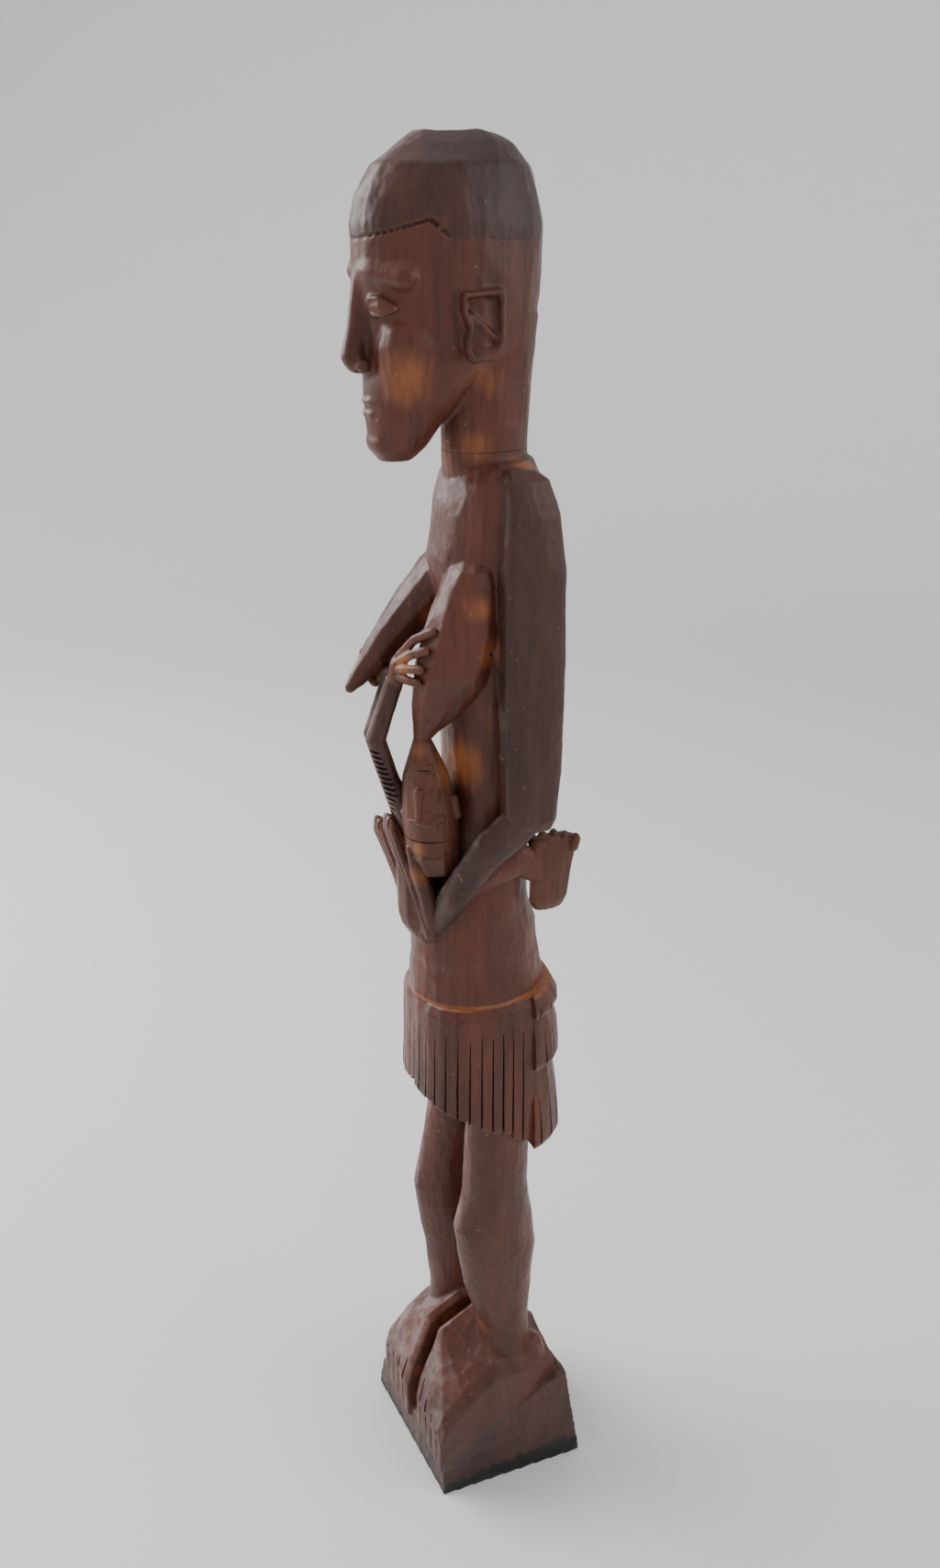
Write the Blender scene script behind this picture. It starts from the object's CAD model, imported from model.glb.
import bpy
import bmesh
import math
import numpy
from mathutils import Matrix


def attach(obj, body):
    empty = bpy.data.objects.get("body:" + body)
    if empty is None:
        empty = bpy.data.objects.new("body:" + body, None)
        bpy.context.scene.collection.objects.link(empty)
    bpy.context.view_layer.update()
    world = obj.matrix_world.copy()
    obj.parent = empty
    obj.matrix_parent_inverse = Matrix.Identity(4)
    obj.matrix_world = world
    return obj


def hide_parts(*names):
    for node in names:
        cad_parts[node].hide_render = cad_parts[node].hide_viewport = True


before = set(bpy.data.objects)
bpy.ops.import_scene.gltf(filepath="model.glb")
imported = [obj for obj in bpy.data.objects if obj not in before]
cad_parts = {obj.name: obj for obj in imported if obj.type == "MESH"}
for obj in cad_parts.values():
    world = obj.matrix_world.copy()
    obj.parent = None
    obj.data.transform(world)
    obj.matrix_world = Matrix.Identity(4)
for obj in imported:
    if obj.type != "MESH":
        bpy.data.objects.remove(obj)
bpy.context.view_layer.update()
mm = 0.001
bpy.context.preferences.edit.use_global_undo = False   # thousands of small steps need no undo


# ---- small workshop helpers ----

def clearPick():
    if bpy.context.object and bpy.context.object.mode != "OBJECT":
        bpy.ops.object.mode_set(mode="OBJECT")
    bpy.ops.object.select_all(action="DESELECT")


def pickOnly(piece):
    clearPick()
    piece.select_set(True)
    bpy.context.view_layer.objects.active = piece


def settle():
    # the place goes into the mesh and the object stays at the origin
    bpy.ops.object.transform_apply(location=True, rotation=True, scale=True)


def addBall(knot, grow, sides=10):
    x, y, z, wide, deep, tall = knot
    bpy.ops.mesh.primitive_uv_sphere_add(
        segments=sides, ring_count=6, radius=1, location=(x * mm, y * mm, z * mm),
        scale=((wide + grow) * mm, (deep + grow) * mm, (tall + grow) * mm))


def limb(knots, grow=0.0, sides=10):
    # a rounded form pulled from ball to ball, like a roughed-out branch
    clearPick()
    addBall(knots[0], grow, sides)
    piece = bpy.context.object
    settle()
    bpy.ops.object.mode_set(mode="EDIT")
    for index in range(len(knots) - 1):
        if index:
            addBall(knots[index], grow, sides)
        addBall(knots[index + 1], grow, sides)
        bpy.ops.mesh.select_all(action="SELECT")
        bpy.ops.mesh.convex_hull()
        bpy.ops.mesh.hide(unselected=False)
    bpy.ops.mesh.reveal()
    bpy.ops.object.mode_set(mode="OBJECT")
    return piece


def column(rings, grow=0.0, sides=28, square=1.0):
    # an upright form: a disc is extruded from level to level and resized at each
    clearPick()
    x, y, z, wide, deep = rings[0]
    bpy.ops.mesh.primitive_circle_add(
        vertices=sides, radius=1, fill_type="NGON", rotation=(0, 0, math.pi / sides))
    piece = bpy.context.object
    settle()
    bpy.ops.object.mode_set(mode="EDIT")
    mesh = bmesh.from_edit_mesh(piece.data)
    for vert in mesh.verts:
        vert.co.x = math.copysign(abs(vert.co.x) ** square, vert.co.x)
        vert.co.y = math.copysign(abs(vert.co.y) ** square, vert.co.y)
    bpy.ops.transform.resize(value=((wide + grow) * mm, (deep + grow) * mm, 1), center_override=(0, 0, 0))
    bpy.ops.transform.translate(value=(x * mm, y * mm, z * mm))
    for nextX, nextY, nextZ, nextWide, nextDeep in rings[1:]:
        step = ((nextX - x) * mm, (nextY - y) * mm, (nextZ - z) * mm)
        bpy.ops.mesh.extrude_region_move(TRANSFORM_OT_translate={"value": step})
        bpy.ops.transform.resize(
            value=((nextWide + grow) / (wide + grow), (nextDeep + grow) / (deep + grow), 1),
            center_override=(nextX * mm, nextY * mm, nextZ * mm))
        x, y, z, wide, deep = nextX, nextY, nextZ, nextWide, nextDeep
    bpy.ops.mesh.select_all(action="SELECT")
    bpy.ops.mesh.normals_make_consistent(inside=False)
    bpy.ops.object.mode_set(mode="OBJECT")
    return piece


def block(low, high):
    # a plain saw block between two corners, used for cutting
    clearPick()
    middle = [(a + b) / 2 * mm for a, b in zip(low, high)]
    size = [(b - a) * mm for a, b in zip(low, high)]
    bpy.ops.mesh.primitive_cube_add(size=1, location=middle, scale=size)
    settle()
    return bpy.context.object


def shapedBlock(corner):
    # a block whose eight corners go where corner(x, y, z) says, which is given each corner's signs
    clearPick()
    bpy.ops.mesh.primitive_cube_add(size=1)
    piece = bpy.context.object
    bpy.ops.object.mode_set(mode="EDIT")
    mesh = bmesh.from_edit_mesh(piece.data)
    for vert in mesh.verts:
        signs = [math.copysign(1, value) for value in vert.co]
        vert.co = [value * mm for value in corner(*signs)]
    bmesh.update_edit_mesh(piece.data)
    bpy.ops.mesh.select_all(action="SELECT")
    bpy.ops.mesh.normals_make_consistent(inside=False)
    bpy.ops.object.mode_set(mode="OBJECT")
    return piece


def around(middle, wide, deep, start, end, count, low, high, radius):
    # knots on an oval about the trunk, from one compass angle to another
    cx, cy = middle
    knots = []
    for index in range(count):
        part = index / (count - 1)
        angle = math.radians(start + (end - start) * part)
        knots.append((cx + wide * math.cos(angle), cy + deep * math.sin(angle), low + (high - low) * part,
                      radius, radius, radius))
    return knots


def mirrored(knots):
    return [(-knot[0],) + tuple(knot[1:]) for knot in knots]


def joined(pieces, name):
    clearPick()
    for piece in pieces:
        piece.select_set(True)
    bpy.context.view_layer.objects.active = pieces[0]
    if len(pieces) > 1:
        bpy.ops.object.join()
    whole = bpy.context.object
    whole.name = name
    return whole


def applied(piece, kind, **settings):
    pickOnly(piece)
    modifier = piece.modifiers.new(kind, kind)
    for key, value in settings.items():
        setattr(modifier, key, value)
    bpy.ops.object.modifier_apply(modifier=modifier.name)


def cutAway(piece, cutter):
    applied(piece, "BOOLEAN", object=cutter, operation="DIFFERENCE", solver="MANIFOLD")
    bpy.data.objects.remove(cutter)


def copyOf(piece, name):
    double = piece.copy()
    double.data = piece.data.copy()
    double.name = name
    bpy.context.collection.objects.link(double)
    return double


def oneSkin(tool, fineness):
    # overlapping forms become one clean closed shape
    applied(tool, "REMESH", mode="VOXEL", voxel_size=fineness * mm)
    return tool


def partedOff(whole, cutter, name):
    # the part inside the cutter becomes its own piece and the rest stays
    if len(cutter.data.vertices) > 60:
        oneSkin(cutter, 1.5)   # a cutter of many faces cuts fast only as one skin
    part = copyOf(whole, name)
    applied(part, "BOOLEAN", object=cutter, operation="INTERSECT", solver="MANIFOLD")
    cutAway(whole, cutter)
    return part


# ---- forms of the carving, in millimetres ----

plinthBlock = {
    # corners in the order front left, front right, back right, back left
    "bottom": [(46, -45, 0), (-54, -53, 0), (-46, 45, 0), (54, 53, 0)],
    "top": [(41, -43.5, 27), (-49, -51.5, 27), (-41, 35, 76), (49, 43, 76)],
}


def plinthForm():
    def corner(x, y, z):
        left, back = x > 0, y > 0
        index = (3 if left else 2) if back else (0 if left else 1)
        return plinthBlock["top" if z > 0 else "bottom"][index]

    return shapedBlock(corner)


foot = {
    # y, underside, inner ridge, outer ridge, half width
    "stations": [
        (-47, 21, 52, 54, 45), (-43, 21, 69, 65, 46), (-29, 21, 106, 82, 46.5),
        (-6, 30, 118, 98, 46), (18, 50, 110, 94, 45), (38, 62, 90, 82, 42)],
    "rightShift": -4,
    "channel": 3,
    # each line between two toes: its place across the foot and its top
    "toeLines": [(11, 66), (20, 62), (29, 58), (38, 54)],
}


def footForm(side):
    clearPick()
    shift = foot["rightShift"] if side < 0 else 0
    bpy.ops.mesh.primitive_circle_add(vertices=6, radius=mm, fill_type="NGON")
    piece = bpy.context.object
    bpy.ops.object.mode_set(mode="EDIT")
    for index, (y, low, inner, outer, wide) in enumerate(foot["stations"]):
        if index:
            bpy.ops.mesh.extrude_region_move(TRANSFORM_OT_translate={"value": (0, mm, 0)})
        mesh = bmesh.from_edit_mesh(piece.data)
        ring = [vert for vert in mesh.verts if vert.select]
        edge = foot["channel"]
        outline = [(edge, low), (wide, low), (wide, outer - 8),
                   (wide - 6, outer), (edge + 4, inner), (edge, inner - 4)]
        if index == 0:
            middle = sum((vert.co for vert in ring), start=ring[0].co * 0) / 6
            ring.sort(key=lambda vert: math.atan2(vert.co.y - middle.y, vert.co.x - middle.x))
            for place, vert in enumerate(ring):
                x, z = outline[place]
                vert.co = (side * x * mm, (y + shift) * mm, z * mm)
        else:
            for vert in ring:
                # each corner finds the corner of the last section that it was drawn from
                across, up = vert.co.x * side / mm, vert.co.z / mm
                gaps = [(across - x) ** 2 + (up - z) ** 2 for x, z in last]
                x, z = outline[gaps.index(min(gaps))]
                vert.co = (side * x * mm, (y + shift) * mm, z * mm)
        last = outline
        bmesh.update_edit_mesh(piece.data)
    bpy.ops.mesh.select_all(action="SELECT")
    bpy.ops.mesh.normals_make_consistent(inside=False)
    bpy.ops.object.mode_set(mode="OBJECT")
    return piece


def legRings(side):
    lead = 8 if side < 0 else 0
    return [
        (side * 24, 8 - 1.8 * lead, 90, 15.5, 17), (side * 23, 8 - 1.8 * lead, 118, 14.5, 17),
        (side * 23, 4 - lead, 155, 15.5, 23), (side * 23, 3 - lead, 179, 16.5, 26),
        (side * 23, -lead, 205, 16.5, 26), (side * 23, 1 - lead, 231, 16, 21),
        (side * 22, 3 - lead / 2, 279, 16.5, 20), (side * 20, 3, 330, 15.5, 20)]


skirt = {
    "body": [(0, 0, 256, 41, 44), (0, 0, 305, 40.5, 43.5), (0, 0, 342, 39.5, 42),
             (0, -1, 365, 37.8, 40.8), (0, -1, 371, 34.5, 38)],
    # underside, top and flare of the three rows behind, from the upper one down
    "tiers": {"skirt_tier_upper": (357, 371, 0.5), "skirt_tier_middle": (322, 362, 1.8),
              "skirt_tier_lower": (266, 330, 3.2)},
    "half": (41, 44),
    "sideLine": 18,
    "frontHem": 307,
    "backHem": 269,
    # the apron's strips, counted round the front from one side line to the other
    "strips": 24,
    "apronStart": -200,
    "apronTurn": 220,
    "tierGrooves": 12,
}


def tierForm(low, high, flare):
    wide, deep = skirt["half"]
    middle = (low + high) / 2
    piece = column([
        (0, 0, low, wide + flare - 1.5, deep + flare - 1.5), (0, 0, low + 4, wide + flare, deep + flare),
        (0, 0, (low + middle) / 2, wide + 0.8 * flare, deep + 0.8 * flare),
        (0, 0, middle, wide + 0.3 * flare, deep + 0.3 * flare),
        (0, 0, high, wide - 3.5, deep - 3.5)], square=0.75, sides=24)
    cutAway(piece, block((-80, -80, 200), (80, skirt["sideLine"], 420)))
    return piece


def skirtForm():
    piece = column(skirt["body"], square=0.75, sides=24)
    cutAway(piece, block((-80, skirt["sideLine"] + 4, 200), (80, 80, 420)))
    # the hem slants up towards the front

    def corner(x, y, z):
        atFront = y < 0
        hem = skirt["frontHem"] + 4 if atFront else skirt["backHem"] - 2
        return (x * 90, -48 if atFront else 24, hem if z > 0 else 200)

    cutAway(piece, shapedBlock(corner))
    return piece


# a ring is its middle, then half its width and half its depth; a knot is a ball's middle, then its radii
bandRings = [(0, -1, 368, 35.5, 40.5), (0, -1.5, 378, 34.5, 39), (0, -2, 386, 33.5, 37.8),
             (0, -2, 392, 32.8, 36.8)]
bellyRings = [(0, -2, 389, 32.8, 36.8), (0, -3, 398, 32.5, 36.5), (0, -3, 408, 31.5, 35.5),
              (0, -3, 422, 30, 31), (0, -1, 438, 29, 27), (0, 2, 454, 28, 25), (0, 4, 475, 27, 24)]
torsoRings = [(0, 5, 465, 27, 24), (0, 5, 494, 27, 24), (0, 5, 559, 28, 25), (0, 4, 589, 29, 27),
              (0, 3, 617, 31, 29), (0, 4, 645, 33, 25), (0, 5, 655, 33, 23), (0, 6, 664, 24, 19)]
neckRings = [(0, 4, 645, 27, 20), (0, 3, 657, 22, 21), (0, 2, 665, 18.7, 21),
             (0, 2.3, 681, 18.7, 21.6), (0, 3, 705, 20, 23), (0, 4, 728, 23, 23.5)]
rightBreastKnots = [(-13, -15, 606, 16, 13, 14), (-13.8, -33, 587, 12.5, 11, 12),
                    (-14.2, -48.5, 570.5, 8.5, 8, 9), (-14.1, -60, 558, 5, 5, 5.5),
                    (-14, -65.5, 552, 3, 3, 3)]
leftBreastKnots = [(17, -12, 609, 15, 13, 13), (16.5, -17, 585, 17, 20, 15), (15, -21, 565, 17, 21, 15),
                   (12, -27.5, 547, 12, 15, 11), (10, -33, 536, 7, 8, 7),
                   (9.3, -37, 528.5, 4.5, 4, 4.5)]
upperArmRings = [(35, 13, 477, 5.5, 12), (35, 13, 483, 7.5, 15), (35.5, 13, 522, 7.5, 17),
                 (35, 13, 571, 7.5, 17), (34, 12.5, 615, 7.5, 17), (32, 12, 641, 7.5, 14.5),
                 (29, 10, 657, 6.5, 11.5), (26, 8, 661.5, 4.5, 7.5)]
forearmKnots = [(35, 9, 483, 7, 9, 13), (34, -12, 468, 7, 8, 13), (24.5, -25, 441.5, 7, 7, 12),
                (9, -30, 417, 7, 7, 10), (7, -34, 411, 6, 6, 7)]
leftHandKnots = [(9, -32, 415, 8, 7, 9), (4.1, -38.3, 438, 8.5, 6, 10), (0.6, -42.8, 454.6, 8, 5, 8),
                 (-5, -49, 475, 7.5, 4, 6), (-5, -50, 479, 6.5, 2.5, 2.5)]
leftThumbKnots = [(12, -33, 422, 5.5, 5.5, 8), (13, -37, 440, 4.8, 4.6, 7), (11.5, -41.5, 455, 4.0, 3.8, 6),
                  (10.5, -44, 467, 3.4, 3, 4)]
rightHandKnots = [(-9, -32, 415, 8, 7, 9), (-12.9, -38.3, 435, 8.5, 6, 10), (-15.6, -42.8, 450, 8, 5, 8),
                  (-20, -49, 467, 7.5, 4, 6), (-20, -50, 471, 6.5, 2.5, 2.5)]
rightThumbKnots = [(-23, -37, 429, 4, 4, 6), (-22, -42, 454.6, 3, 3, 5), (-22, -43, 466, 2.5, 2.5, 4)]
childBodyKnots = [(-2, -32, 412, 13.5, 10, 9), (-2, -36, 422, 13.5, 11, 12), (-2, -36.5, 450, 12.5, 11, 12),
                  (-2, -37, 464, 13.5, 10, 10), (-2, -37, 478, 11.5, 8, 6)]
childHeadKnots = [(9, -29, 456, 11, 12, 5), (9, -31, 468, 15, 15, 11), (9, -32.8, 488, 14.5, 15, 10),
                  (9, -34.5, 508, 11, 12, 9), (9, -36, 525, 5.5, 5.5, 5)]
childRightArmKnots = [(2, -41, 480, 7.5, 6.5, 7.5), (-0.5, -50.5, 503, 5.5, 5.5, 5.5),
                      (1, -58, 528, 5.5, 5.5, 5.5), (2, -53, 543, 5, 5, 5.5), (3, -48, 558, 5, 5, 5.5)]
childLeftArmKnots = [(-8, -41, 480, 7.5, 6.5, 7.5), (-9.5, -48.5, 503, 5.5, 5.5, 5.5),
                     (-8, -56, 528, 5.5, 5.5, 5.5), (-7, -51, 543, 5, 5, 5.5), (-6, -46, 558, 5, 5, 5.5)]
childLegKnots = [(9, -29, 426, 7, 7, 9), (18, -21, 439, 7, 7, 9), (27, -6, 452, 7, 8, 9),
                 (29, 10, 458, 6, 8, 9), (27, 23, 449, 6, 6, 10)]
childRightHand = {"palm": [(3, -48, 556, 4.5, 4.5, 5), (6, -47, 566, 4.6, 4.6, 6.5)],
                  "fingers": [[(8, -47.5, 562.5), (14, -45.5, 562), (19.5, -42, 561.5)],
                              [(8, -47.5, 566), (15, -46, 568), (21.5, -41.5, 569)],
                              [(8, -47, 569.5), (15.5, -44, 575), (22.5, -39, 578.5)],
                              [(7, -46, 572.5), (14.5, -41.5, 582), (22.5, -35, 587.5)]]}
childLeftHand = {"palm": [(-5, -46, 556, 4.5, 4.5, 5), (-12, -47, 557, 5, 5, 6)],
                 "fingers": [[(-14, -52, 553), (-22, -55, 558), (-25, -54, 566)],
                             [(-14, -49, 556), (-23, -50.5, 563), (-26, -49.5, 571)],
                             [(-14, -46, 559), (-24, -46, 568), (-27, -45, 576)],
                             [(-14, -43, 562), (-24, -41.5, 573), (-27, -40.5, 581)]]}
childFoot = {"place": (27, 31, 447), "turn": -25,
             "sole": [(0, -1, -22.5, 4, 10, 3), (1, -1, -17.5, 5, 12, 5), (1, 0, 0, 5, 13, 8),
                      (0, 1, 15.5, 5, 15, 6)]}


def childHandForm(hand):
    # four stiff fingers with blunt ends spread from a small palm
    parts = [limb(hand["palm"])]
    for base, bend, tip in hand["fingers"]:
        finger = [base + (2.9, 2.9, 2.6), bend + (2.4, 2.4, 2.4), tip + (2.3, 2.3, 2.4)]
        parts.append(limb(finger, sides=6))
    return joined(parts, "childHand")


def childFootForm(side):
    # a sole with five short round toes
    turn = math.radians(childFoot["turn"])
    cx, cy, cz = childFoot["place"]

    def placed(knot):
        x, y, z, wide, deep, tall = knot
        return (side * (cx + x * math.cos(turn) - y * math.sin(turn)),
                cy + x * math.sin(turn) + y * math.cos(turn), cz + z, wide, deep, tall)

    parts = [limb([placed(knot) for knot in childFoot["sole"]])]
    for toe in (-2, -1, 0, 1, 2):
        root = (-0.5, 1 + toe * 5.4, 14, 3.4, 3, 4)
        tip = (0, 1 + toe * 5.9, 20.5 - 1.3 * abs(toe), 3.2, 2.7, 3.4)
        parts.append(limb([placed(root), placed(tip)], sides=8))
    return joined(parts, "childFoot")


headColumn = [(0, -12, 706, 20, 34), (0, -15, 718, 27.5, 40), (0, -15.6, 732.5, 29.3, 43),
              (0, -16, 744, 30, 44.5), (0, -16, 758, 30, 44.5)]
capRings = [(0, -16, 757, 30, 44.5), (0, -16, 764.3, 30.5, 45), (0, -16, 774.8, 29, 42.5),
            (0, -14, 787.4, 25, 36.5), (0, -11, 795.8, 18, 26.5), (0, -12, 800, 13, 19.5)]
jawRings = [(0, -43, 665, 7, 8), (0, -41.5, 671, 12.5, 13.5), (0, -37.5, 684, 17.5, 19),
            (0, -31, 697, 22, 26), (0, -22, 710, 25.5, 34.5), (0, -16, 728.5, 27, 41.5)]

faceMasses = {
    "browRidge": [(-22, -45, 743.5, 6, 6, 6), (-9, -54.5, 746, 6, 6, 5.5), (9, -54.5, 746, 6, 6, 5.5),
                  (22, -45, 743.5, 6, 6, 6)],
    "nose": [(0, -58, 743, 4, 3.5, 4), (0, -59.5, 724, 4, 5, 5), (0, -62, 711, 5.2, 6, 5),
             (0, -60, 706.5, 5, 5, 3)],
    "cheek": [(14, -38, 716, 12, 17.5, 14), (10, -39, 698, 11, 15, 12)],
    "muzzle": [(-4, -45, 690, 9, 10.5, 8), (4, -45, 690, 9, 10.5, 8)],
    "chin": [(-3, -47, 674, 8, 9.5, 7.5), (3, -47, 674, 8, 9.5, 7.5)],
}
faceDetails = {
    "nostrils": [(-5.4, -59, 707.5, 3, 4, 3), (5.4, -59, 707.5, 3, 4, 3)],
    "eye": [(8.5, -54.5, 731.8, 2.5, 3, 2.2), (13, -52.8, 732.2, 5, 4.2, 3.6),
            (18.5, -49.5, 731.8, 2.5, 2.6, 2)],
    "upperLid": [(6.4, -56.6, 731.4, 1, 1.2, 1), (10, -57.2, 735, 1, 1.4, 1.1), (15, -55, 735.4, 1, 1.4, 1.1),
                 (21, -49.2, 731.4, 1, 1.2, 1)],
    "lowerLid": [(7, -56.2, 730.6, 1, 1, 0.9), (11, -56, 728.3, 1, 1.2, 0.9), (15.5, -54, 728.3, 1, 1.2, 0.9),
                 (20.5, -49.3, 730.6, 1, 1, 0.9)],
    "upperLip": [(-10, -51.5, 690.2, 1.6, 2, 1.5), (-4, -55, 692.2, 2.2, 2.4, 2),
                 (0, -55.4, 691.6, 2, 2.2, 1.9), (4, -55, 692.2, 2.2, 2.4, 2),
                 (10, -51.5, 690.2, 1.6, 2, 1.5)],
    "lowerLip": [(-9, -51.5, 688.8, 1.6, 2, 1.5), (-3.5, -54.8, 686.4, 2.4, 2.4, 2.3),
                 (3.5, -54.8, 686.4, 2.4, 2.4, 2.3), (9, -51.5, 688.8, 1.6, 2, 1.5)],
}
lipLine = [(-10.5, -53.5, 689.7, 0.5, 1.5, 0.45), (-4, -57.4, 689.2, 0.5, 1.5, 0.45),
           (4, -57.4, 689.2, 0.5, 1.5, 0.45), (10.5, -53.5, 689.7, 0.5, 1.5, 0.45)]
nostrilHole = [(3.6, -61.5, 704.5, 1.1, 1.6, 1.6), (4.6, -59, 704.5, 1.1, 1.6, 1.6)]


def limbsOf(forms, sides, paired=()):
    # one limb for each row of knots, and its mirror image where the form has two sides
    limbs = []
    for name, knots in forms.items():
        limbs.append(limb(knots, sides=sides))
        if name in paired:
            limbs.append(limb(mirrored(knots), sides=sides))
    return limbs


earForm = {
    # a raised rim round a shallow plate, with a ridge across the hollow
    "plate": [(27.5, -13, 733, 4, 9, 4), (27.5, -12.5, 716, 4, 7.5, 4)],
    "rim": [(30.5, -22, 736.5, 3.4, 1.7, 1.7), (30.5, -4.5, 737.5, 3.4, 1.7, 1.7),
            (30.5, -4, 718, 3.4, 1.8, 1.8), (30.5, -7.5, 711.5, 3.4, 2.2, 2),
            (30.5, -18, 710.5, 3.4, 1.8, 1.8), (30.5, -20.5, 716, 3.4, 1.6, 1.6),
            (30.5, -18.5, 723, 3.4, 1.6, 1.6), (30.5, -21.8, 730, 3.4, 1.6, 1.6),
            (30.5, -22, 736.5, 3.4, 1.6, 1.6)],
    "ridge": [(30.2, -18.5, 728, 2.8, 1.6, 2.4), (30.2, -8, 719.5, 2.6, 1.8, 1.6)],
    "lobe": [(30.2, -8.5, 713.5, 3, 3, 2.4), (30, -15.5, 713, 2.6, 3, 2)],
}
childFace = {"axis": (9, -32.3), "looks": -46, "hairline": 474.5,
             "levels": [(456, 11), (468, 15), (488, 14.5), (508, 11.3), (525, 5.5)]}   # height, radius


def onChildHead(turn, z, out, radii):
    # a ball set on the small head's surface, turned from where the face looks
    levels = childFace["levels"]
    for (lowZ, lowR), (highZ, highR) in zip(levels, levels[1:]):
        if lowZ <= z <= highZ:
            reach = lowR + (highR - lowR) * (z - lowZ) / (highZ - lowZ) + out
    angle = math.radians(childFace["looks"] + turn)
    x, y = childFace["axis"]
    return (x + reach * math.cos(angle), y + reach * math.sin(angle), z) + radii


def acrossChildFace(turns, z, out, radii):
    return [onChildHead(turn, z, out, radii) for turn in turns]


def childEye(side):
    return [onChildHead(side * 18, 491.5, -1.0, (1.8, 1.8, 1.4)),
            onChildHead(side * 27, 491.7, -0.8, (2.2, 2.2, 2.1)),
            onChildHead(side * 37, 491.5, -1.0, (1.8, 1.8, 1.3))]


childFaceKnots = {
    "brow": [onChildHead(turn, z, -0.4, (2.2, 2.2, 1.8))
             for turn, z in ((-48, 488), (-22, 485.5), (0, 486.5), (22, 485.5), (48, 488))],
    "nose": [onChildHead(0, 487, -0.2, (1.8, 1.8, 2.5)), onChildHead(0, 497, 1.4, (2.2, 2.2, 2.8)),
             onChildHead(0, 503, 2.0, (2.9, 2.9, 2.2))],
    "eyeNear": childEye(1),
    "eyeFar": childEye(-1),
    "upperLip": [onChildHead(turn, 511.5 - abs(turn) * 0.03, -0.4, (1.7, 1.7, 1.5))
                 for turn in (-30, -10, 10, 30)],
    "lowerLip": acrossChildFace((-26, 0, 26), 515, 0.2, (1.7, 1.7, 1.5)),
    "cheeks": acrossChildFace((-34, 34), 500, -2.4, (4, 4, 6)),
    "hair": [(9, -29, 453, 12, 12.5, 4), (9, -31, 464, 15.6, 15.6, 8)],
}
childEar = [onChildHead(96, 486, 0, (2.6, 3, 3)), onChildHead(94, 494, 0, (2.2, 2.6, 3.4))]
handFingers = {
    # from the knuckles to the tips, one long finger beside the other
    "left": {"base": (5.5, -37, 428), "tip": (-5, -50, 481), "knuckles": 3.2, "spread": 3.9,
             "lengths": (-6, 0, -1, -4)},
    "right": {"base": (-12, -37, 426), "tip": (-20, -50, 473), "knuckles": 3.2, "spread": 3.9,
              "lengths": (-6, 0, -1, -4)},
}


def fingersForm(hand):
    fingers = []
    bx, by, bz = hand["base"]
    tx, ty, tz = hand["tip"]
    for index, drop in enumerate(hand["lengths"]):
        across = index - 1.5
        curl = abs(across) * 0.4
        fingers.append(limb([
            (bx + across * hand["knuckles"], by - 2.2 + abs(across) * 0.5, bz, 2.4, 2.6, 3),
            ((bx + tx) / 2 + across * 3.7, (by + ty) / 2 - 2.2 + curl, (bz + tz) / 2, 2.4, 2.4, 3),
            (tx + across * hand["spread"], ty - 0.5 + curl, tz - 3 + drop, 2.1, 2, 3)], sides=8))
    return joined(fingers, "fingers")


finish = {"soften": 3, "facetSize": 0.011, "facetDeep": 1.0, "rippleSize": 0.0036, "rippleDeep": 0.22,
          "partingRoom": 1.3}
# edge length of each group's skin in millimetres, and how boldly it was tooled
skins = {
    "base": (0.9, 1.0), "skirt": (0.8, 0.7), "trunk": (0.9, 1.0), "head": (0.7, 1.0), "hand": (0.55, 0.3),
    "childHead": (0.5, 0.25), "childBody": (0.7, 0.6), "childArm": (0.55, 0.45), "childHand": (0.5, 0.25),
    "childLeg": (0.8, 0.5), "childFoot": (0.6, 0.5),
}


def facetTexture(name, size):
    texture = bpy.data.textures.new(name, type="VORONOI")
    texture.distance_metric = "DISTANCE_SQUARED"
    texture.noise_scale = size
    return texture


broadFacets = facetTexture("broadFacets", finish["facetSize"])
ripples = facetTexture("ripples", finish["rippleSize"])


def bladeMarks(piece, texture, deep, stretch):
    # shallow scoops with crisp borders, longer down the grain
    clearPick()
    bpy.ops.object.empty_add(location=(0.01, 0.02, 0.03))
    holder = bpy.context.object
    holder.scale = (1, 1, stretch)
    bpy.context.view_layer.update()
    applied(piece, "DISPLACE", texture=texture, texture_coords="OBJECT",
            texture_coords_object=holder, strength=deep * mm, mid_level=0.4, vertex_group="tooling")
    bpy.data.objects.remove(holder)


def tooled(piece, amount):
    # how boldly each region was tooled: the face and the underside stay smooth
    group = piece.vertex_groups.new(name="tooling")
    plain, calm = [], []
    for vert in piece.data.vertices:
        x, y, z = vert.co / mm
        (calm if (664 < z < 756 and y < -38) or z < 2 else plain).append(vert.index)
    group.add(plain, amount, "REPLACE")
    group.add(calm, 0.1 * amount, "REPLACE")
    bladeMarks(piece, broadFacets, finish["facetDeep"], 2.2)
    bladeMarks(piece, ripples, finish["rippleDeep"], 1.4)
    piece.vertex_groups.clear()


def carved(name, members, skin):
    # overlapping members become one skin, softened by wear and then tooled
    fineness, tooling = skins[skin]
    piece = oneSkin(joined(members, name), fineness)
    applied(piece, "SMOOTH", factor=0.5, iterations=finish["soften"])
    tooled(piece, tooling)
    return piece


pieces = {}


# ---- plinth, feet and legs ----

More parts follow.
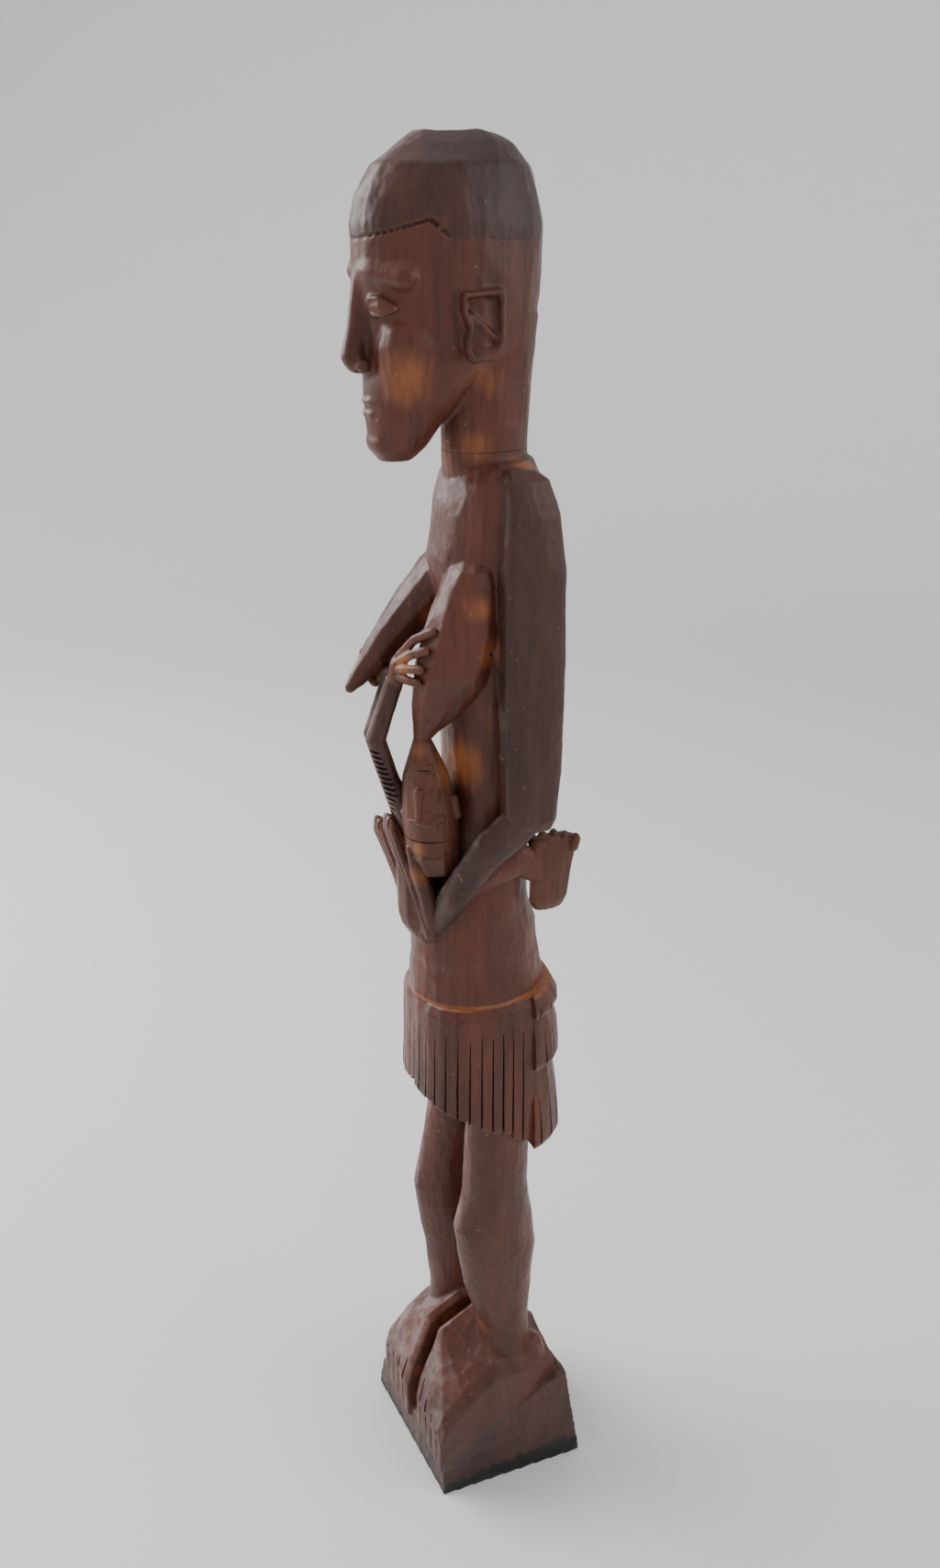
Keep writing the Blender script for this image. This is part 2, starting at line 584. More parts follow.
print("plinth, feet and legs")
heelKnots = [(31, 22, 92, 10, 12, 9), (31, 24, 80, 10, 12, 9)]
base = carved("base", [
    plinthForm(), footForm(1), footForm(-1), column(legRings(1)), column(legRings(-1)),
    limb(heelKnots), limb([(-knot[0], knot[1] - 5) + knot[2:] for knot in heelKnots])], "base")
toes = []
for side in (1, -1):
    shift = foot["rightShift"] if side < 0 else 0
    for x, high in foot["toeLines"]:
        toes.append(limb([(side * x, -50 + shift, 27, 1.1, 4.2, 3), (side * x, -48 + shift, 48, 1.1, 4, 3),
                          (side * (x - 1), -43 + shift, high, 0.5, 2, 3)], sides=8))
cutAway(base, joined(toes, "toeCuts"))
ankleTop = 108
for node, side in (("left", 1), ("right", -1)):
    lowest = legRings(side)[0]
    rings = [lowest[:2] + (ankleTop,) + lowest[3:]] + legRings(side)[1:]
    pieces[node + "_leg"] = partedOff(base, column(rings, grow=2), node + "Leg")


def slantedBlock(low, frontTop, backTop, front=-60, back=60, half=70):
    # a saw block whose top slopes from front to back
    return shapedBlock(lambda x, y, z: (
        x * half, front if y < 0 else back, low if z < 0 else frontTop if y < 0 else backTop))


# the plinth's top climbs from front to back, and the saw follows it
plinthFront, plinthRise = 27, (76 - 27) / (39 + 44)
plinthSaw = slantedBlock(-5, plinthFront - 16 * plinthRise, plinthFront + 104 * plinthRise)
pieces["plinth"] = partedOff(base, plinthSaw, "plinth")
pieces["left_foot"] = partedOff(base, block((0, -80, -5), (80, 80, 200)), "leftFoot")
base.name = "rightFoot"
pieces["right_foot"] = base


# ---- skirt ----

print("skirt")


def ovalRadius(wide, deep, angle, square=0.75):
    # distance from the middle to the skirt's boxy oval
    power = 2 / square
    return ((abs(math.cos(angle)) / wide) ** power + (abs(math.sin(angle)) / deep) ** power) ** (-1 / power)


def stripGouge(angle, low, high, wide, deep, cutDeep, width, mouth):
    # a narrow V that opens downwards between two strips
    turn = math.radians(angle)
    edge = ovalRadius(wide, deep, turn)

    def corner(x, y, z):
        outer, top = x > 0, z > 0
        half = (width if top else mouth) * (1.6 if outer else 0.15)
        return (edge + 4 if outer else edge - cutDeep, y * half, high if top else low)

    tool = shapedBlock(corner)
    tool.rotation_euler = (0, 0, turn)
    settle()
    return tool


def hemHeight(y):
    # the hem climbs evenly from the side line to the very front
    part = min(1, max(0, (skirt["sideLine"] - y) / (skirt["sideLine"] + skirt["half"][1])))
    return skirt["backHem"] + (skirt["frontHem"] - skirt["backHem"]) * part


front = carved("skirtFront", [skirtForm()], "skirt")
wide, deep = skirt["half"]
strips = skirt["strips"]
frontAngles = [skirt["apronStart"] + skirt["apronTurn"] * (index + 0.5) / strips for index in range(strips)]
cuts = []
for number, angle in enumerate(frontAngles):
    # every groove stops at its own height under the band
    top = 354 + 2.5 * math.sin(number * 2.4)
    hem = hemHeight(deep * math.sin(math.radians(angle)))
    cuts.append(stripGouge(angle, hem - 12, top, wide, deep, 3.6, 0.7, 1.25))
cutAway(front, joined(cuts, "frontCuts"))
ends = []
for number, angle in enumerate(frontAngles):
    # some strips end a little higher than their neighbours
    short = 1.8 + 2.2 * math.sin(number * 1.9)
    if short > 1.0:
        middle = math.radians(angle + skirt["apronTurn"] / 2 / strips)
        x, y = wide * math.cos(middle), deep * math.sin(middle)
        clearPick()
        bpy.ops.mesh.primitive_cube_add(
            size=1, scale=(10 * mm, 6.8 * mm, 20 * mm), rotation=(0, 0, middle),
            location=(x * mm, y * mm, (hemHeight(y) - 10 + short) * mm))
        settle()
        ends.append(bpy.context.object)
cutAway(front, joined(ends, "ends"))
pieces["skirt_front"] = front
for level, (node, (low, high, flare)) in enumerate(skirt["tiers"].items()):
    tier = carved(node.replace("_", ""), [tierForm(low, high, flare)], "skirt")
    # the middle row's grooves stand half a strip aside from those above and below
    angles = [24 + 11 * (index + 0.5) + (level % 2) * 5.5 for index in range(skirt["tierGrooves"])]
    cuts = [stripGouge(angle, low - 6, high - 7, wide + flare, deep + flare, 3.2, 0.6, 1.5)
            for angle in angles]
    cutAway(tier, joined(cuts, "tierCuts"))
    pieces[node] = tier


# ---- trunk, breasts and arms ----

print("trunk and arms")
trunk = carved("trunk", [
    column(bandRings), column(bellyRings), column(torsoRings), column(neckRings[:4]),
    limb(rightBreastKnots), limb(leftBreastKnots),
    column(upperArmRings, square=0.6, sides=16), column(mirrored(upperArmRings), square=0.6, sides=16),
    limb(forearmKnots), limb(mirrored(forearmKnots))], "trunk")
armpitKnots = [(26.5, -15, 601, 1, 3.5, 3), (27, -9, 566, 2, 8, 8), (27.5, -4, 500, 2.4, 9, 12)]
for knots in (armpitKnots, mirrored(armpitKnots)):
    cutAway(trunk, limb(knots, sides=8))
bandLine = around((0, -1), 36.3, 41.4, -180, 178, 40, 372.5, 372.5, 0.9)
cutAway(trunk, limb(bandLine, sides=6))
cutAway(trunk, block((-60, -60, 668), (60, 60, 700)))
room = finish["partingRoom"]
for node, side in (("left", 1), ("right", -1)):
    knots = forearmKnots if side > 0 else mirrored(forearmKnots)
    rings = upperArmRings if side > 0 else mirrored(upperArmRings)
    pieces[node + "_forearm"] = partedOff(trunk, limb(knots, grow=room), node + "Forearm")
    pieces[node + "_upper_arm"] = partedOff(trunk, column(rings, grow=room, square=0.6), node + "UpperArm")
pieces["left_breast"] = partedOff(trunk, limb(leftBreastKnots, grow=room), "leftBreast")
pieces["right_breast"] = partedOff(trunk, limb(rightBreastKnots, grow=room), "rightBreast")
pieces["waistband"] = partedOff(trunk, block((-60, -60, 360), (60, 60, 390)), "waistband")
pieces["belly"] = partedOff(trunk, block((-60, -60, 380), (60, 60, 465)), "belly")
neckLow = partedOff(trunk, block((-23.5, -24, 659), (23.5, 28, 680)), "neckLow")
trunk.name = "torso"
pieces["torso"] = trunk


# ---- head ----

print("head")
hair = {
    # the cap's edge: level behind the temple, and climbing backwards from the brow to it in front
    "oval": ((0, -16), 30.4, 45.2), "backHeight": 758, "frontHeight": 758.3, "browLine": -61.2, "rise": 0.277,
    "line": (1.9, 1.9, 0.62), "jog": (765.3, 759.5), "split": -28,
}


def bladeKnots(wide, deep, start, end, count, low, high):
    # a thin deep cut along the cap's oval, straight into the wood
    middle = hair["oval"][0]
    return [knot[:3] + hair["line"] for knot in around(middle, wide, deep, start, end, count, low, high, 1)]


def hairFront(y):
    return hair["frontHeight"] + (y - hair["browLine"]) * hair["rise"]


head = joined([column(headColumn), column(jawRings), column(capRings), column(neckRings[2:])]
              + limbsOf(faceMasses, 10, paired=("cheek",)), "head")
oneSkin(head, 0.9)
skin = head.vertex_groups.new(name="skin")
faceSide = [vert.index for vert in head.data.vertices if vert.co.z < 0.75 and vert.co.y < -0.02]
skin.add(faceSide, 1.0, "REPLACE")
applied(head, "SMOOTH", factor=0.5, iterations=12, vertex_group="skin")
applied(head, "SMOOTH", factor=0.5, iterations=5)
head = carved("head", [head] + limbsOf(earForm, 8, paired=earForm)
              + limbsOf(faceDetails, 8, paired=("eye", "upperLid", "lowerLid")), "head")

wide, deep = hair["oval"][1:]
backLine = bladeKnots(wide, 45, -12, 192, 24, hair["backHeight"], hair["backHeight"])
cutAway(head, limb(backLine, sides=8))
frontLine = [knot[:2] + (hairFront(knot[1]),) + knot[3:]
             for knot in bladeKnots(wide, deep, -155, -25, 17, 0, 0)]
cutAway(head, oneSkin(limb(frontLine, sides=8), 0.3))
for start, end in ((-25, -15), (-155, -165)):
    cutAway(head, limb(bladeKnots(wide, deep, start, end, 3, *hair["jog"]), sides=8))
cutAway(head, oneSkin(limb(lipLine, sides=6), 0.25))
for knots in (nostrilHole, mirrored(nostrilHole)):
    cutAway(head, limb(knots, sides=8))
cutAway(head, block((-40, -21, 650), (40, 60, 668)))
oneSkin(head, 0.62)

# the cap is sawn off along its own edge: a sloping cut in front, a level one behind
frontCap = slantedBlock(900, hairFront(-80), hairFront(hair["split"]), front=-80, back=hair["split"])
backCap = block((-60, hair["split"] - 0.5, hair["backHeight"]), (60, 60, 900))
applied(frontCap, "BOOLEAN", object=backCap, operation="UNION", solver="MANIFOLD")
bpy.data.objects.remove(backCap)
pieces["hair_cap"] = partedOff(head, frontCap, "hairCap")
for node, name, inner, outer in (("left_ear", "leftEar", 28.6, 40), ("right_ear", "rightEar", -40, -28.6)):
    pieces[node] = partedOff(head, block((inner, -25, 707.5), (outer, -1, 740.5)), name)
neck = partedOff(head, block((-30, -20.5, 660), (30, 40, 699)), "neck")
pieces["neck"] = joined([neck, neckLow], "neck")
pieces["head"] = head


# ---- hands and child ----

print("hands and child")
for name, palm, thumb in (("left", leftHandKnots, leftThumbKnots),
                          ("right", rightHandKnots, rightThumbKnots)):
    hand = handFingers[name]
    piece = carved(name + "Hand", [limb(palm), limb(thumb), fingersForm(hand)], "hand")
    pieces[name + "_hand"] = piece
    bx, by, bz = hand["base"]
    tx, ty, tz = hand["tip"]
    lines = []
    for gap in (-1, 0, 1):
        low, high = bx + gap * hand["knuckles"], tx + gap * hand["spread"]
        lines.append(limb([(low, by - 4.8, bz + 3, 0.35, 1.2, 1), (high, ty - 2.2, tz - 6, 0.5, 2.4, 1),
                           (high, ty - 1.5, tz + 3, 0.7, 4, 1)], sides=6))
    cutAway(piece, joined(lines, "fingerLines"))

childHead = carved("childHead", [limb(childHeadKnots, sides=20), limb(childEar, sides=8)]
                   + limbsOf(childFaceKnots, 8), "childHead")
hairline = around((9, -31), 15.6, 15.6, -150, 60, 12, childFace["hairline"], childFace["hairline"], 1)
cutAway(childHead, oneSkin(limb([knot[:3] + (1.5, 1.5, 0.5) for knot in hairline], sides=6), 0.3))
childLips = acrossChildFace((-26, 0, 26), 513.3, 1.2, (1.2, 1.2, 0.4))
cutAway(childHead, oneSkin(limb(childLips, sides=6), 0.25))
pieces["child_head"] = childHead
pieces["child_body"] = carved("childBody", [limb(childBodyKnots)], "childBody")
pieces["child_right_arm"] = carved("childRightArm", [limb(childRightArmKnots)], "childArm")
notches = []
for index in range(12):
    # a ladder of short cuts up the near arm
    part = index / 11
    notches.append(limb([(4.8 - 0.6 * part, -45.5 - 13 * part, 487 + 35 * part, 1.8, 1.4, 0.8),
                         (2.0 + 0.5 * part, -50.5 - 12.5 * part, 488 + 35 * part, 1.8, 1.4, 0.8)], sides=6))
cutAway(pieces["child_right_arm"], joined(notches, "notches"))
pieces["child_left_arm"] = carved("childLeftArm", [limb(childLeftArmKnots)], "childArm")
pieces["child_right_hand"] = carved("childRightHand", [childHandForm(childRightHand)], "childHand")
pieces["child_left_hand"] = carved("childLeftHand", [childHandForm(childLeftHand)], "childHand")
for node, side in (("child_right", 1), ("child_left", -1)):
    knots = childLegKnots if side > 0 else mirrored(childLegKnots)
    name = node.replace("_", "")
    pieces[node + "_leg"] = carved(name + "Leg", [limb(knots)], "childLeg")
    pieces[node + "_foot"] = carved(name + "Foot", [childFootForm(side)], "childFoot")


# ---- wood ----

print("wood")


def addNode(tree, kind, **values):
    # nodes stand in rows of eight, in the order of making
    node = tree.nodes.new(kind)
    count = len(tree.nodes)
    node.location = (220 * (count % 8), -260 * (count // 8))
    for key, value in values.items():
        setattr(node, key, value)
    return node


def feed(tree, socket, value):
    # a socket takes a constant, or a wire from another socket
    if isinstance(value, (int, float, tuple)):
        socket.default_value = value
    else:
        tree.links.new(value, socket)


def mathNode(tree, operation, first, second):
    node = addNode(tree, "ShaderNodeMath", operation=operation)
    feed(tree, node.inputs[0], first)
    feed(tree, node.inputs[1], second)
    return node.outputs[0]


def times(tree, first, second):
    return mathNode(tree, "MULTIPLY", first, second)


def plus(tree, first, second):
    return mathNode(tree, "ADD", first, second)


def ramp(tree, source, low, high):
    # a soft step from 0 at low to 1 at high
    node = addNode(tree, "ShaderNodeMapRange", interpolation_type="SMOOTHSTEP")
    for label, value in (("From Min", low), ("From Max", high), ("Value", source)):
        feed(tree, node.inputs[label], value)
    return node.outputs["Result"]


def mixColors(tree, factor, first, second):
    node = addNode(tree, "ShaderNodeMix", data_type="RGBA", blend_type="MIX")
    for index, value in ((0, factor), (6, first), (7, second)):
        feed(tree, node.inputs[index], value)
    return node.outputs[2]


def noiseOn(tree, vector, scale, detail, stretch=(1, 1, 1), roughness=0.55):
    mapping = addNode(tree, "ShaderNodeMapping")
    mapping.inputs["Scale"].default_value = stretch
    feed(tree, mapping.inputs["Vector"], vector)
    noise = addNode(tree, "ShaderNodeTexNoise")
    for label, value in (("Scale", scale), ("Detail", detail), ("Roughness", roughness),
                         ("Vector", mapping.outputs["Vector"])):
        feed(tree, noise.inputs[label], value)
    return noise.outputs["Fac"]


def newGroup(name, inputs, outputs):
    group = bpy.data.node_groups.new(name, "ShaderNodeTree")
    for label, kind, value in inputs:
        socket = group.interface.new_socket(label, in_out="INPUT", socket_type="NodeSocket" + kind)
        if value is not None:
            socket.default_value = value
    for label, kind in outputs:
        group.interface.new_socket(label, in_out="OUTPUT", socket_type="NodeSocket" + kind)
    return group, addNode(group, "NodeGroupInput").outputs, addNode(group, "NodeGroupOutput").inputs


def grainGroup():
    # long dark pores and soft bands that run down the log
    group, given, result = newGroup(
        "heartwoodGrain",
        [("Place", "Vector", None), ("Wood", "Color", (0.2, 0.08, 0.05, 1)),
         ("Dark Wood", "Color", (0.05, 0.02, 0.015, 1)), ("Pore Amount", "Float", 0.6)],
        [("Color", "Color"), ("Height", "Float"), ("Pores", "Float")])
    place = given["Place"]
    bands = noiseOn(group, place, 55, 3, (1, 1, 0.12))
    streaks = noiseOn(group, place, 420, 4, (1, 1, 0.05), 0.6)
    fibre = noiseOn(group, place, 1500, 3, (1, 1, 0.035), 0.65)
    pores = times(group, ramp(group, fibre, 0.60, 0.72), ramp(group, streaks, 0.42, 0.6))
    bandShade = times(group, ramp(group, bands, 0.3, 0.7), 0.55)
    banded = mixColors(group, bandShade, given["Wood"], given["Dark Wood"])
    streakShade = times(group, ramp(group, streaks, 0.5, 0.72), 0.5)
    streaked = mixColors(group, streakShade, banded, given["Dark Wood"])
    poreShade = times(group, pores, given["Pore Amount"])
    feed(group, result["Color"], mixColors(group, poreShade, streaked, (0.012, 0.006, 0.005, 1)))
    height = mathNode(group, "SUBTRACT", times(group, streaks, 0.35), times(group, poreShade, 0.8))
    feed(group, result["Height"], height)
    feed(group, result["Pores"], pores)
    return group


def wearGroup():
    # rubbed pale edges, dark hollows and small pale scratches
    group, given, result = newGroup(
        "handWear",
        [("Place", "Vector", None), ("Color", "Color", (0.2, 0.1, 0.06, 1)), ("Curve", "Float", 0.5),
         ("Edge Color", "Color", (0.3, 0.2, 0.17, 1)), ("Hollow Color", "Color", (0.03, 0.012, 0.008, 1)),
         ("Edge Amount", "Float", 0.5), ("Hollow Amount", "Float", 0.7), ("Scratch Amount", "Float", 0.3)],
        [("Color", "Color"), ("Polish", "Float")])
    patches = noiseOn(group, given["Place"], 140, 4)
    rubbed = times(group, ramp(group, given["Curve"], 0.515, 0.58), ramp(group, patches, 0.35, 0.6))
    edge = times(group, rubbed, given["Edge Amount"])
    hollow = times(group, ramp(group, given["Curve"], 0.49, 0.43), given["Hollow Amount"])
    lines = noiseOn(group, given["Place"], 260, 2, (0.16, 1.6, 1.3))
    nicks = times(group, ramp(group, lines, 0.715, 0.75), given["Scratch Amount"])
    color = mixColors(group, hollow, given["Color"], given["Hollow Color"])
    color = mixColors(group, edge, color, given["Edge Color"])
    feed(group, result["Color"], mixColors(group, nicks, color, (0.42, 0.27, 0.17, 1)))
    feed(group, result["Polish"], edge)
    return group


def toolGroup():
    # the small overlapping bites of the blade, too fine to model
    group, given, result = newGroup("bladeBites", [("Place", "Vector", None), ("Size", "Float", 320.0)],
                                    [("Height", "Float")])
    mapping = addNode(group, "ShaderNodeMapping")
    mapping.inputs["Scale"].default_value = (1, 1, 0.55)
    mapping.inputs["Rotation"].default_value = (0.3, 0.2, 0)
    feed(group, mapping.inputs["Vector"], given["Place"])
    cells = addNode(group, "ShaderNodeTexVoronoi", feature="F1")
    feed(group, cells.inputs["Vector"], mapping.outputs["Vector"])
    feed(group, cells.inputs["Scale"], given["Size"])
    feed(group, result["Height"], mathNode(group, "POWER", cells.outputs["Distance"], 2.0))
    return group


grain, wear, bites = grainGroup(), wearGroup(), toolGroup()

woods = {
    "red_wood": {"wood": (0.118, 0.034, 0.020, 1), "dark": (0.036, 0.013, 0.009, 1),
                 "bare": (0.27, 0.085, 0.028, 1),
                 "edge": (0.25, 0.12, 0.085, 1), "hollow": (0.012, 0.005, 0.003, 1),
                 "pores": 0.8, "rough": 0.44, "bloom": 0.55},
    "dark_wood": {"wood": (0.078, 0.030, 0.022, 1), "dark": (0.026, 0.012, 0.010, 1),
                  "bare": (0.22, 0.075, 0.030, 1),
                  "edge": (0.22, 0.125, 0.10, 1), "hollow": (0.010, 0.005, 0.004, 1),
                  "pores": 0.85, "rough": 0.42, "bloom": 0.6},
    "pale_wood": {"wood": (0.135, 0.043, 0.022, 1), "dark": (0.042, 0.016, 0.010, 1),
                  "bare": (0.30, 0.105, 0.036, 1),
                  "edge": (0.30, 0.15, 0.09, 1), "hollow": (0.014, 0.006, 0.004, 1),
                  "pores": 0.7, "rough": 0.46, "bloom": 0.5},
}
coats = {
    "scorch": (0.008, 0.007, 0.007, 1), "bloom": (0.30, 0.235, 0.225, 1), "bloomFaces": (-0.35, -0.62, 0.70),
    "biteSize": 260.0, "specular": 0.32, "coat": 0.06, "coatRough": 0.32,
}


def groupNode(tree, group, **values):
    node = addNode(tree, "ShaderNodeGroup", node_tree=group)
    for label, value in values.items():
        feed(tree, node.inputs[label.replace("_", " ")], value)
    return node


def bumpNode(tree, height, strength, distance):
    node = addNode(tree, "ShaderNodeBump")
    for label, value in (("Height", height), ("Strength", strength), ("Distance", distance)):
        feed(tree, node.inputs[label], value)
    return node


def scorchedBorder(tree, place, color):
    # a burnt and scuffed border at the foot of the plinth
    parts = addNode(tree, "ShaderNodeSeparateXYZ")
    feed(tree, parts.inputs["Vector"], place)
    ragged = mathNode(tree, "SUBTRACT", noiseOn(tree, place, 130, 5), 0.5)
    raggedHeight = plus(tree, parts.outputs["Z"], times(tree, ragged, -0.022))
    lean = times(tree, parts.outputs["Y"], -0.075)
    return mixColors(tree, ramp(tree, plus(tree, raggedHeight, lean), 0.0125, 0.0085), color, coats["scorch"])


def bareStreaks(tree, place, color, bareColor):
    # bare wood shows in streaks where the stain is thin
    bare = addNode(tree, "ShaderNodeAttribute", attribute_name="bareWood")
    streaks = times(tree, noiseOn(tree, place, 300, 4, (1, 1, 0.12)), 0.7)
    return mixColors(tree, ramp(tree, plus(tree, bare.outputs["Fac"], streaks), 0.62, 1.25), color, bareColor)


def waxBloom(tree, coords, color, amount):
    # the upper and forward planes carry a greyish bloom of old wax
    facing = addNode(tree, "ShaderNodeVectorMath", operation="DOT_PRODUCT")
    feed(tree, facing.inputs[0], coords.outputs["Normal"])
    facing.inputs[1].default_value = coats["bloomFaces"]
    patches = ramp(tree, noiseOn(tree, coords.outputs["Object"], 75, 5), 0.38, 0.62)
    bloom = times(tree, ramp(tree, facing.outputs["Value"], 0.55, 0.98), patches)
    return mixColors(tree, times(tree, bloom, amount), color, coats["bloom"])


def woodMaterial(name, look):
    material = bpy.data.materials.new(name)
    material.use_nodes = True
    tree = material.node_tree
    skinShader = tree.nodes["Principled BSDF"].inputs
    coords = addNode(tree, "ShaderNodeTexCoord")
    place = coords.outputs["Object"]
    geometry = addNode(tree, "ShaderNodeNewGeometry")
    grained = groupNode(tree, grain, Place=place, Wood=look["wood"], Dark_Wood=look["dark"],
                        Pore_Amount=look["pores"])

    # handling has darkened broad uneven patches
    stain = times(tree, ramp(tree, noiseOn(tree, place, 22, 4, (1, 1, 0.5)), 0.45, 0.68), 0.55)
    color = mixColors(tree, stain, grained.outputs["Color"], look["dark"])
    color = scorchedBorder(tree, place, color)
    color = bareStreaks(tree, place, color, look["bare"])
    color = waxBloom(tree, coords, color, look["bloom"])
    worn = groupNode(tree, wear, Place=place, Color=color, Curve=geometry.outputs["Pointiness"],
                     Edge_Color=look["edge"], Hollow_Color=look["hollow"])
    feed(tree, skinShader["Base Color"], worn.outputs["Color"])

    # waxed skin: smoother on the rubbed crests, dull in the pores
    sheen = times(tree, noiseOn(tree, place, 90, 4), 0.28)
    rough = plus(tree, sheen, look["rough"] - 0.14)
    rough = plus(tree, rough, times(tree, grained.outputs["Pores"], 0.25))
    rough = mathNode(tree, "SUBTRACT", rough, times(tree, worn.outputs["Polish"], 0.12))
    feed(tree, skinShader["Roughness"], rough)
    skinShader["Specular IOR Level"].default_value = coats["specular"]
    skinShader["Coat Weight"].default_value = coats["coat"]
    skinShader["Coat Roughness"].default_value = coats["coatRough"]

    bitten = groupNode(tree, bites, Place=place, Size=coats["biteSize"])
    fineBump = bumpNode(tree, grained.outputs["Height"], 0.5, 0.0004)
    biteBump = bumpNode(tree, bitten.outputs["Height"], 0.35, 0.0006)
    feed(tree, biteBump.inputs["Normal"], fineBump.outputs["Normal"])
    feed(tree, skinShader["Normal"], biteBump.outputs["Normal"])
    return material


# where the stain never reached or has been rubbed away: place, reach, strength
freshSpots = [
    (27, -14, 598, 9, 1.0), (28, -8, 575, 12, 0.7), (28, -4, 540, 16, 0.5), (27, -2, 510, 16, 0.4),
    (-27, -14, 598, 9, 1.0), (-28, -6, 560, 16, 0.6), (-27, -2, 510, 16, 0.4),
    (2, -24, 588, 11, 0.8), (14, -18, 512, 17, 0.9), (-10, -18, 512, 18, 0.6), (0, -20, 545, 18, 0.6),
    (0, -18, 668, 13, 0.6), (17, -10, 671, 11, 0.7), (-17, -10, 671, 11, 0.7), (22, 12, 662, 8, 0.9),
    (-22, 12, 662, 8, 0.9), (22, -46, 702, 16, 0.75), (-22, -46, 702, 16, 0.75), (24, -6, 700, 12, 0.7),
    (-24, -6, 700, 12, 0.7),
    (8, 24, 700, 18, 0.5), (-8, 24, 700, 18, 0.5), (14, -45, 570, 9, 0.8), (-17, -46, 562, 9, 0.7),
    (2, -40, 470, 12, 0.6), (12, -42, 452, 10, 0.7), (18, -44, 470, 7, 0.7), (-10, -44, 462, 10, 0.6),
    (0, -16, 96, 16, 0.7), (0, -40, 60, 12, 0.6), (23, -4, 120, 12, 0.6), (-23, -12, 120, 12, 0.6),
    (10, -46, 33, 14, 0.5), (-22, -46, 33, 16, 0.5), (34, -46, 33, 12, 0.4), (30, 30, 405, 16, 0.5),
    (-30, 30, 405, 16, 0.5), (37, 26, 452, 14, 0.25), (0, 38, 340, 25, 0.3), (10, -38, 522, 6, 0.9),
]


def markFresh(piece):
    # a soft weight on each point says how much bare wood shows there
    count = len(piece.data.vertices)
    places = numpy.empty(count * 3, dtype=numpy.float32)
    piece.data.vertices.foreach_get("co", places)
    places = places.reshape(-1, 3) / mm
    weight = numpy.zeros(count, dtype=numpy.float32)
    for x, y, z, reach, strength in freshSpots:
        away = ((places - (x, y, z)) ** 2).sum(axis=1) / reach ** 2
        weight = numpy.maximum(weight, strength * numpy.exp(-away))
    # the incised line under the waistband
    weight = numpy.maximum(weight, 0.9 * numpy.exp(-((places[:, 2] - 371.5) / 1.6) ** 2))
    attribute = piece.data.attributes.new("bareWood", "FLOAT", "POINT")
    attribute.data.foreach_set("value", weight.astype(numpy.float32))


materials = {name: woodMaterial(name, look) for name, look in woods.items()}
darkNodes = {"hair_cap", "left_upper_arm", "right_upper_arm", "left_forearm", "right_forearm", "plinth",
             "child_left_arm", "child_right_arm"}
paleNodes = {"child_head", "child_body", "child_left_hand", "child_right_hand", "child_left_foot",
             "child_right_foot"}
for node, piece in pieces.items():
    slotName = "dark_wood" if node in darkNodes else "pale_wood" if node in paleNodes else "red_wood"
    pickOnly(piece)
    bpy.ops.object.shade_smooth_by_angle(angle=math.radians(40))
    piece.data.materials.clear()
    piece.data.materials.append(materials[slotName])
    markFresh(piece)
    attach(piece, "root")
    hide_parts(node)
print("pieces", len(pieces), "faces", sum(len(piece.data.polygons) for piece in pieces.values()))


# ---- floor, light and camera ----

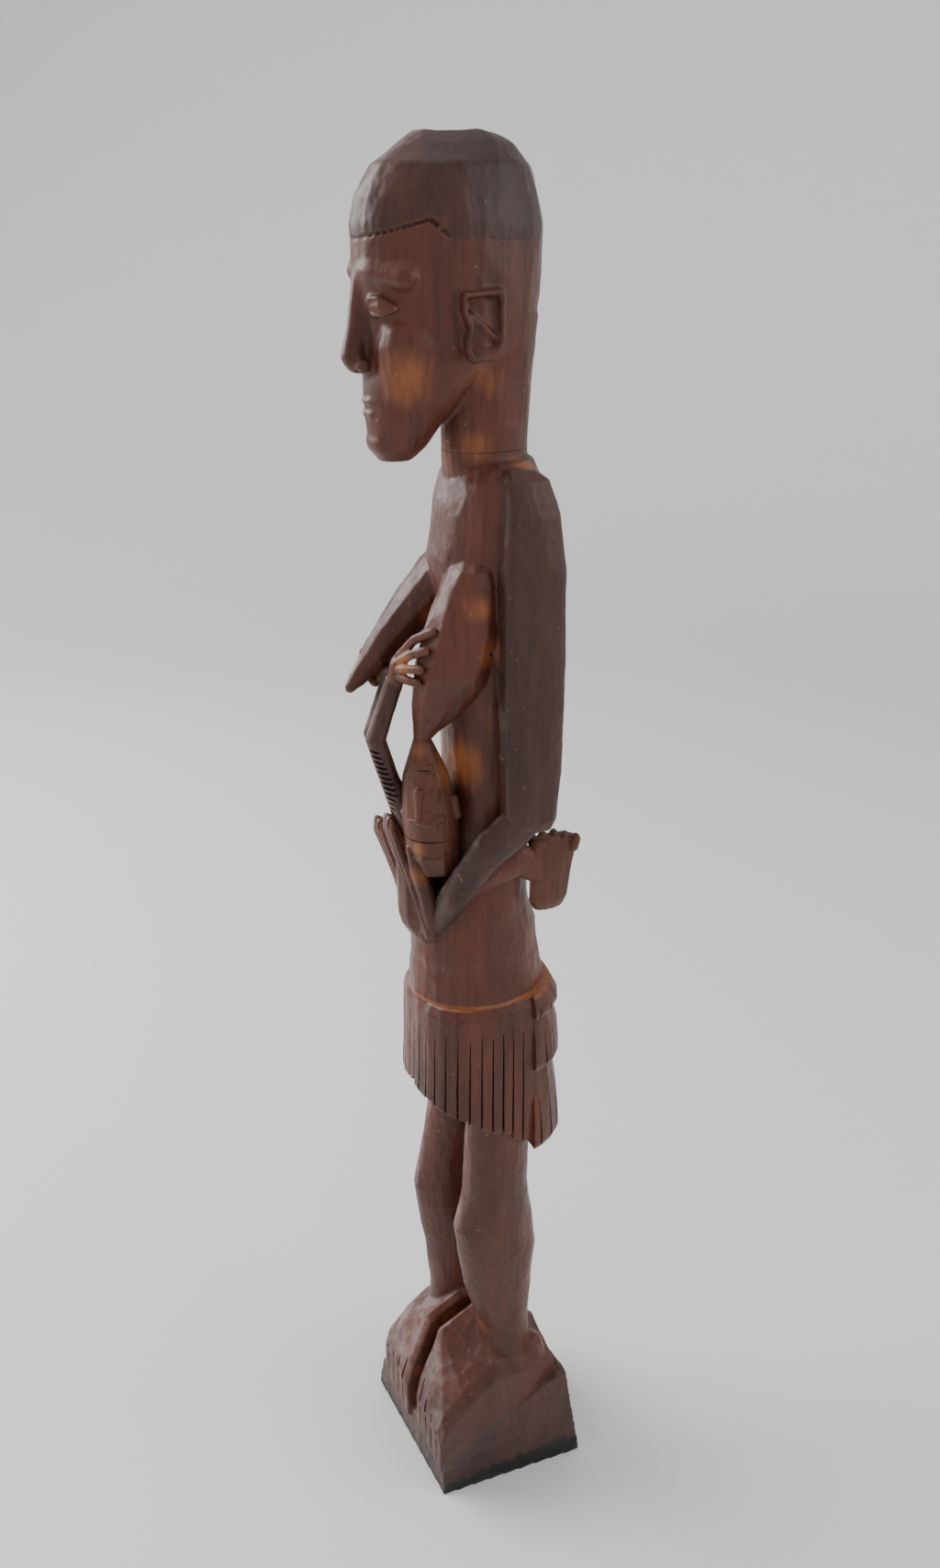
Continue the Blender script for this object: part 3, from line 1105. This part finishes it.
print("studio")
studio = {
    # radius and height of the seamless floor's turned-up rim, in metres
    "rim": [(1.9, 0.012), (2.1, 0.06), (2.26, 0.16), (2.38, 0.32), (2.46, 0.55), (2.5, 0.85), (2.52, 1.2),
            (2.52, 3.4)],
    "flat": 1.7,
    "pale": (0.80, 0.80, 0.79, 1),
    "sky": (0.90, 0.93, 0.97, 1),
    "skyStrength": 0.5,
}
clearPick()
bpy.ops.mesh.primitive_circle_add(vertices=96, radius=studio["flat"], fill_type="NOTHING")
floor = bpy.context.object
floor.name = "floor"
bpy.ops.object.mode_set(mode="EDIT")
radius, height = studio["flat"], 0
bpy.ops.mesh.edge_face_add()
bpy.ops.mesh.select_mode(type="EDGE")
bpy.ops.mesh.select_all(action="DESELECT")
bpy.ops.mesh.select_non_manifold()
for nextRadius, nextHeight in studio["rim"]:
    bpy.ops.mesh.extrude_edges_move(TRANSFORM_OT_translate={"value": (0, 0, nextHeight - height)})
    widening = nextRadius / radius
    bpy.ops.transform.resize(value=(widening, widening, 1), center_override=(0, 0, nextHeight))
    radius, height = nextRadius, nextHeight
bpy.ops.mesh.select_all(action="SELECT")
bpy.ops.mesh.normals_make_consistent(inside=True)
bpy.ops.object.mode_set(mode="OBJECT")
bpy.ops.object.shade_smooth_by_angle(angle=math.radians(40))
paleFloor = bpy.data.materials.new("paleFloor")
paleFloor.use_nodes = True
floorShader = paleFloor.node_tree.nodes["Principled BSDF"].inputs
floorShader["Base Color"].default_value = studio["pale"]
floorShader["Roughness"].default_value = 0.75
floor.data.materials.append(paleFloor)

lamps = {
    # place, turn in degrees, size and power: window light from her front right, a soft return from behind
    "window": ((-1.15, -1.25, 1.35), (62, 0, -42), 1.3, 46),
    "wallReturn": ((0.9, 1.1, 1.1), (65, 0, 140), 1.2, 7),
    "ceiling": ((0.1, 0.1, 2.4), (0, 0, 0), 1.8, 10),
}
for name, (place, turn, size, power) in lamps.items():
    bpy.ops.object.light_add(type="AREA", location=place, rotation=[math.radians(angle) for angle in turn])
    lamp = bpy.context.object
    lamp.name = name
    lamp.data.size = size
    lamp.data.energy = power
world = bpy.data.worlds.new("studio")
world.use_nodes = True
world.node_tree.nodes["Background"].inputs["Color"].default_value = studio["sky"]
world.node_tree.nodes["Background"].inputs["Strength"].default_value = studio["skyStrength"]
bpy.context.scene.world = world

view = {"place": (0.524, -0.244, 0.754), "turn": (65.6, 0, 65.486), "lens": 27.03}
bpy.ops.object.camera_add(location=view["place"], rotation=[math.radians(angle) for angle in view["turn"]])
camera = bpy.context.object
camera.data.lens = view["lens"]
camera.data.clip_start = 0.01
bpy.context.scene.camera = camera
